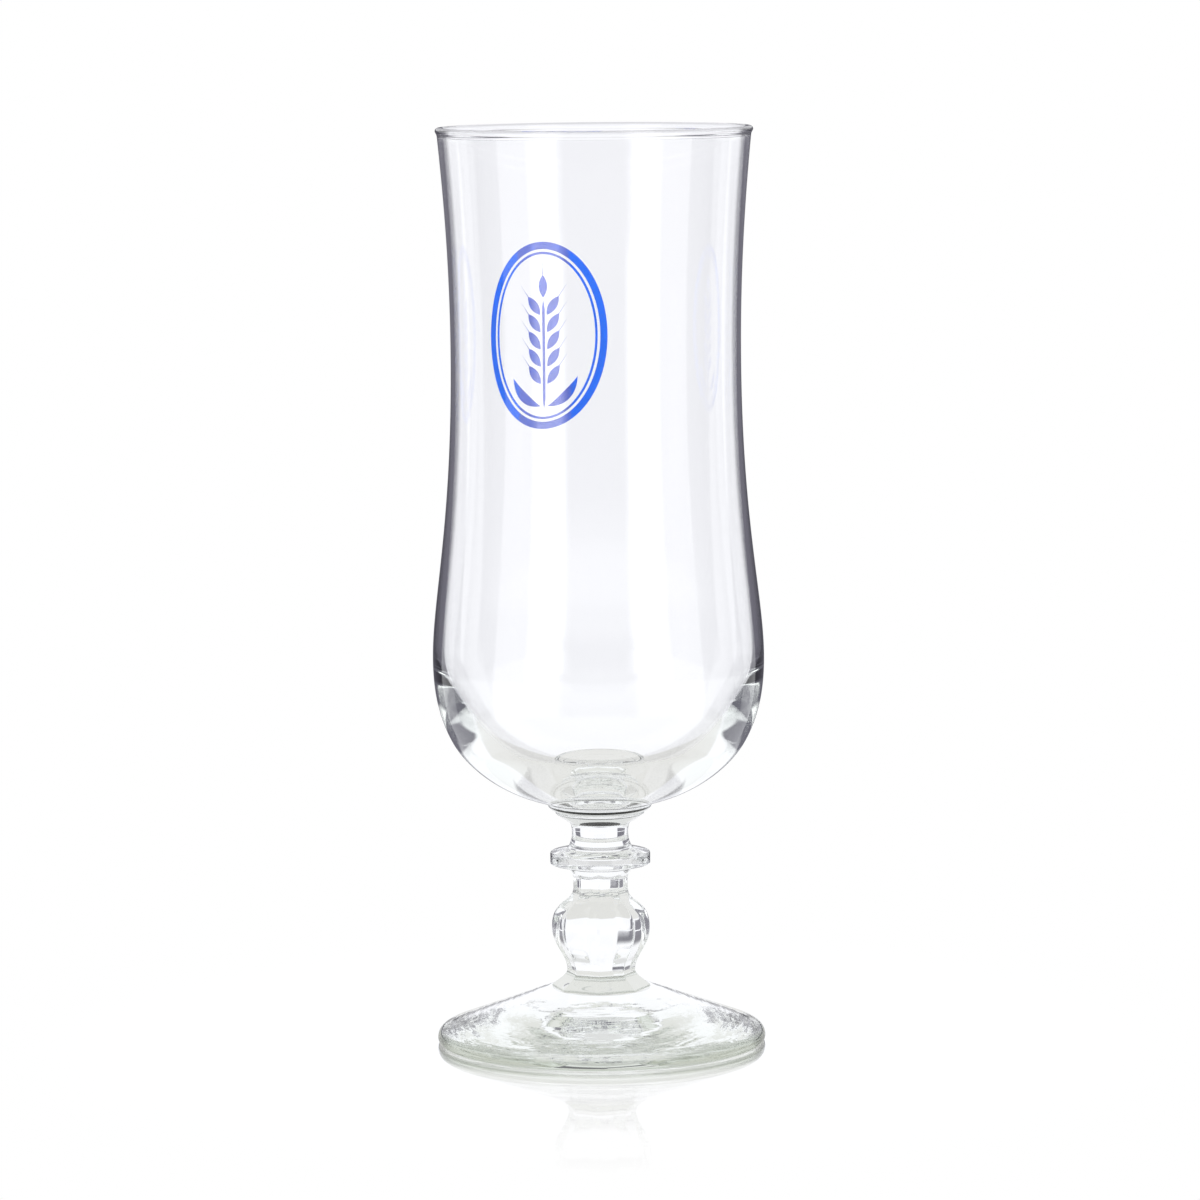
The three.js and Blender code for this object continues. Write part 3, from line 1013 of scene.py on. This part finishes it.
def on_wall(across, up, lift):
    """Points of the badge: across and up from its centre along the wall, and lift off the wall."""
    height = badge_height + up
    radius = wall_radius(height) + lift
    bearing = badge_bearing - across / badge_radius
    return np.stack([radius * np.cos(bearing), radius * np.sin(bearing), height], axis=-1)


def stroke(name, line, half_width, closed=False):
    """A stroke of enamel along a line of (across, up) points, half_width wide on either side of it.

    Round its section the edge runs as cos t times half_width across the line. The open side lifts by the
    enamel's height times sin t to the crown's power, and the other side lies along the wall.
    """
    if closed:
        along = np.roll(line, -1, axis=0) - np.roll(line, 1, axis=0)
    else:
        along = np.gradient(line, axis=0)
    along /= np.linalg.norm(along, axis=1, keepdims=True)
    sideways = np.stack([along[:, 1], -along[:, 0]], axis=1)
    t = np.arange(section_points) * (2 * np.pi / section_points)
    width = np.maximum(half_width, thinnest / 2) * np.ones(len(line))
    swell = np.minimum(1, width / enamel_height)[:, None]
    rise = enamel_height * np.sin(t).clip(0) ** crown_power
    offset = (width[:, None] * np.cos(t))[:, :, None] * sideways[:, None, :]
    place = line[:, None, :] + offset
    points = on_wall(place[:, :, 0], place[:, :, 1], enamel_gap + rise * swell)
    if closed:
        piece = mesh_piece(name, points.reshape(-1, 3), [grid_faces(*points.shape[:2], closed=True)])
    else:
        piece = glass_piece(name, points)
    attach(piece, "root")
    return piece


def oval(half, steps=240):
    """An upright oval line: (half width times cos a, half height times sin a)."""
    a = np.arange(steps) * (2 * np.pi / steps)
    return np.stack([half[0] * np.cos(a), half[1] * np.sin(a)], axis=1)


def straight(start, end):
    """Points spread evenly from start to end, both included."""
    share = np.linspace(0, 1, stroke_steps + 1)[:, None]
    return np.array(start) + share * (np.array(end) - np.array(start))


print("a section of enamel has", section_points, "points")

# %% [markdown]
# Fired enamel is a thin layer of coloured glass. It is dense and a little uneven, and duller than the
# glass around it. Its blue is strong at the sides of the badge and goes to lavender in its middle; that
# lavender is a painted reflection, the paler tone that reflection lays over the badge's middle. Two sizes
# of noise make it uneven: a mottle, also in the colour, and finer specks.

# %% Enamel
# Painted reflection: within this half width of the badge's middle the enamel turns lavender, standing for the
# pale sheen of reflection.
painted_sheen_half = 5.7 * MM
painted_sheen_soft = 0.5 * MM
mottle_scale = 900.0
mottle_detail = 3.0
mottle_patches = (0.5, 0.75)
mottle_share = 0.4
mottle_relief = 0.6
speck_scale = 5200.0
speck_detail = 2.0
speck_relief = 0.4
speck_roughness = 0.12
relief_strength = 0.25
relief_height = 0.02 * MM
pale_gain = 0.9
pale_lift = 0.02
enamel_ior = 1.5
enamel_specular = 0.2
band_blue = (0.0, 0.135, 0.84, 1)
band_painted_sheen = (0.085, 0.135, 0.58, 1)
band_roughness = 0.32
ear_blue = (0.01, 0.13, 0.76, 1)
ear_painted_sheen = (0.09, 0.13, 0.56, 1)
ear_roughness = 0.36


def noise(recipe, place, detail, scale=1.0):
    """Noise of that detail and scale at a place."""
    inputs = {"Vector": place, "Scale": scale, "Detail": detail}
    return recipe.node("ShaderNodeTexNoise", None, inputs)["Fac"]


def enamel(name, deep_colour, painted_sheen_colour, roughness):
    """Semi-gloss enamel, lavender in the badge's middle as a painted reflection, with a faint mottle in its
    colour and surface.
    """
    material = bpy.data.materials.new(name)
    recipe = Recipe(material)
    place = recipe.node("ShaderNodeTexCoord")["Object"]
    x, y, _ = recipe.axes(place)
    across = (badge_bearing - y.math("ARCTAN2", x)).math("ABSOLUTE") * float(badge_radius * MM)
    mottle = noise(recipe, place, mottle_detail, mottle_scale)
    speck = noise(recipe, place, speck_detail, speck_scale)
    # Painted reflection: lavender over the badge's middle, the enamel's blue at its sides.
    colour = recipe.mix(beyond(across, painted_sheen_half, painted_sheen_soft), painted_sheen_colour, deep_colour)
    pale = tuple(pale_gain * part + pale_lift for part in deep_colour[:3]) + (1,)
    colour = recipe.mix(mottle_share * mottle.ramp(*mottle_patches), colour, pale)
    relief = mottle * mottle_relief + speck * speck_relief
    bump = recipe.node(
        "ShaderNodeBump", None,
        {"Height": relief, "Strength": relief_strength, "Distance": relief_height},
    )
    inputs = {
        "Base Color": colour,
        "Roughness": roughness + speck_roughness * speck,
        "IOR": enamel_ior,
        "Specular IOR Level": enamel_specular,
        "Normal": bump["Normal"],
    }
    surface = recipe.node("ShaderNodeBsdfPrincipled", None, inputs)
    recipe.node("ShaderNodeOutputMaterial", None, {"Surface": surface["BSDF"]})
    return material


band_enamel = enamel("band_enamel", band_blue, band_painted_sheen, band_roughness)
ear_enamel = enamel("ear_enamel", ear_blue, ear_painted_sheen, ear_roughness)
print("enamel roughness: band", band_roughness, "ear", ear_roughness)

# %% Band and inner line
for name, half, width in (
    ("band", band_half - band_stroke / 2, band_stroke),
    ("inner_line", band_half - inner_inset, inner_stroke),
):
    piece = stroke(name + "_enamel", oval(half), width / 2, closed=True)
    piece.data.materials.append(band_enamel)
    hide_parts("print_" + name)

# %% [markdown]
# The ear of barley is drawn as a printer would draw it: a stalk, pairs of grains that lean outwards and
# run out into awns, one grain on top, and a leaf on each side of the stalk's foot.

# %% Ear of barley


def add_ear_stroke(name, line, half_width):
    """A stroke of the ear that stands for the frame's node of the same name."""
    piece = stroke(name + "_enamel", line, half_width)
    piece.data.materials.append(ear_enamel)
    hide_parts("print_" + name)


share = np.linspace(0, 1, stroke_steps + 1)
stalk = straight((0, stalk_foot), (0, ear_top - grain_clearance))
stalk_ends = np.minimum(1, stalk_taper * np.minimum(share, 1 - share))
add_ear_stroke("stalk", stalk, stalk_width / 2 * stalk_ends)

travel = share * grain_total
body = grain_width / 2 * np.sin(np.pi * np.minimum(travel / grain_length, 1)).clip(0) ** grain_fullness
awn = awn_width / 2 * np.minimum(1, travel) * (1 - share)
grain_half = np.maximum(body, awn)


def add_grain(name, start, tilt):
    """A grain that swells from its start and runs out into its awn."""
    end = start + grain_total * np.array([math.sin(tilt), math.cos(tilt)])
    add_ear_stroke(name, straight(start, end), grain_half)


for pair in range(grain_pairs):
    height = ear_base + pair * grain_pitch
    add_grain(f"grain_left_{pair + 1}", np.array([-grain_offset, height]), -grain_tilt)
    add_grain(f"grain_right_{pair + 1}", np.array([grain_offset, height]), grain_tilt)
add_grain("grain_top", np.array([0, ear_top]), 0)

# %% Leaves
leaf_width = 1.9
leaf_reach = 7.2
leaf_rise = 6.6
leaf_pull = (0.75, 0.25)
leaf_fullness = 0.9

leaf_half = leaf_width / 2 * np.sin(np.pi * share).clip(0) ** leaf_fullness
for name, side in (("leaf_left", -1), ("leaf_right", 1)):
    leaf = bezier(
        (side * grain_offset, stalk_foot + stalk_width),
        (side * leaf_reach * leaf_pull[0], stalk_foot + leaf_rise * leaf_pull[1]),
        (side * leaf_reach, stalk_foot + leaf_rise),
        steps=stroke_steps,
    )
    add_ear_stroke(name, leaf, leaf_half)

# %% [markdown]
# ## The foot
#
# The foot is a pressed disc whose top rises in a gentle cone to the stem. Its underside is hollowed, so
# it stands on a ring. It is a turned outline too, but its seat takes the eight sides of the flange.

# %% Foot
foot_seat_margin = 0.6
foot_edge_round = 1.2
foot_edge_height = 1.0
foot_shoulder = 2.95
edge_handle_share = 0.8
foot_sag = 0.05
foot_ring_space = 0.8
ring_inset = 1.7
ring_width = 4.7
hollow_depth = 1.6

foot_seat = flange_radius + foot_seat_margin
shoulder_radius = foot_radius - foot_edge_round
edge_handle = foot_shoulder * edge_handle_share
ring_outer = foot_radius - ring_inset
ring_inner = ring_outer - ring_width
foot_outline = polished(joined(
    bezier((0, hollow_depth), (ring_inner / 2, hollow_depth), (ring_inner, 0)),
    bezier((ring_outer, 0), (foot_radius, 0), (foot_radius, foot_edge_height)),
    bezier((foot_radius, foot_edge_height), (foot_radius, edge_handle), (shoulder_radius, foot_shoulder)),
    bezier(
        (shoulder_radius, foot_shoulder),
        ((shoulder_radius + foot_seat) / 2, (foot_shoulder + seat_height) / 2 - foot_sag),
        (foot_seat, seat_height),
    ),
    (flange_radius, seat_height),
), fire_polish)
foot_rings = spaced(foot_outline, foot_ring_space)[1:]
foot_rings[-1, 1] -= half_gap
inwards = smooth_step(-foot_rings[:, :1], -foot_seat, -flange_radius) * (foot_rings[:, 1:] > foot_shoulder)
foot_radii = foot_rings[:, :1] * (1 + inwards * (octagon(angles(), ankle_sharpness) - 1))
foot = glass_piece("foot_glass", lathe(foot_rings, foot_radii), seams=(None, "stem"))

# %% [markdown]
# Pressing left its marks on the foot: rings where the glass flowed outwards, and short rays across them.
# They are too fine for the mesh, so noise bends the normal. The edge is seen through the whole width of
# the foot and looks sage green. Absorption strong enough for that would turn all of the foot green, so
# the edge's outermost stretch takes the green as a surface colour.

# %% Foot material
flow_turns = 1.6
flow_pitch = 2.2 * MM
flow_detail = 2.0
flow_height = 0.24 * MM
ray_turns = 24.0
ray_length = 9.0 * MM
ray_detail = 1.0
ray_height = 0.02 * MM
mark_reach = (11.0 * MM, 14.3 * MM)
mark_rise = (0.5 * foot_shoulder * MM, foot_shoulder * MM)
edge_width = 0.7
edge_colour = (0.52, 0.55, 0.47, 1)


def pressing_marks(recipe):
    """The normal of the pressed foot: fine rings of flow round it, and short rays across them.

    Both are noise on (turns times x / r, turns times y / r, r / length), which has no seam. Rings have few
    turns and a short pitch, so they change fast with the radius, and rays change fast with the bearing.
    """
    x, y, z = recipe.place()
    radius = distance_of(x, y)
    east, north = x / radius, y / radius
    ring_place = recipe.vector(east * flow_turns, north * flow_turns, radius / flow_pitch)
    ray_place = recipe.vector(east * ray_turns, north * ray_turns, radius / ray_length)
    flow = noise(recipe, ring_place, flow_detail) * flow_height
    streaks = noise(recipe, ray_place, ray_detail) * ray_height
    height = (flow + streaks) * (z.ramp(*mark_rise) * radius.ramp(*mark_reach))
    return recipe.node("ShaderNodeBump", None, {"Height": height, "Strength": 1.0, "Distance": 1.0})["Normal"]


def sage_edge(recipe):
    """White on the foot's top, and sage green from a little way inside its edge outwards."""
    x, y, _ = recipe.place()
    edge = distance_of(x, y).ramp((foot_radius - edge_width) * MM, foot_radius * MM)
    return recipe.mix(edge, (1, 1, 1, 1), edge_colour)


foot_glass = clear_glass("foot_glass", sage_edge, pressing_marks)
foot.data.materials.append(foot_glass)
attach(foot, "root")
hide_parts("foot")

# %% [markdown]
# ## Colour and light paths
#
# A path through the foot or the stem is bent and mirrored many times before it leaves, and one that is
# cut short comes out black, so many bounces are allowed. The Standard view leaves the lit floor at pure
# white, where a filmic one would turn it grey.

# %% Colour and light paths
glass_bounces = 32
mirror_bounces = 16

scene = bpy.context.scene
scene.view_settings.view_transform = "Standard"
scene.cycles.max_bounces = glass_bounces
scene.cycles.transmission_bounces = glass_bounces
scene.cycles.glossy_bounces = mirror_bounces
scene.cycles.transparent_max_bounces = glass_bounces
print("bounces in glass", glass_bounces, "and in mirrors", mirror_bounces)
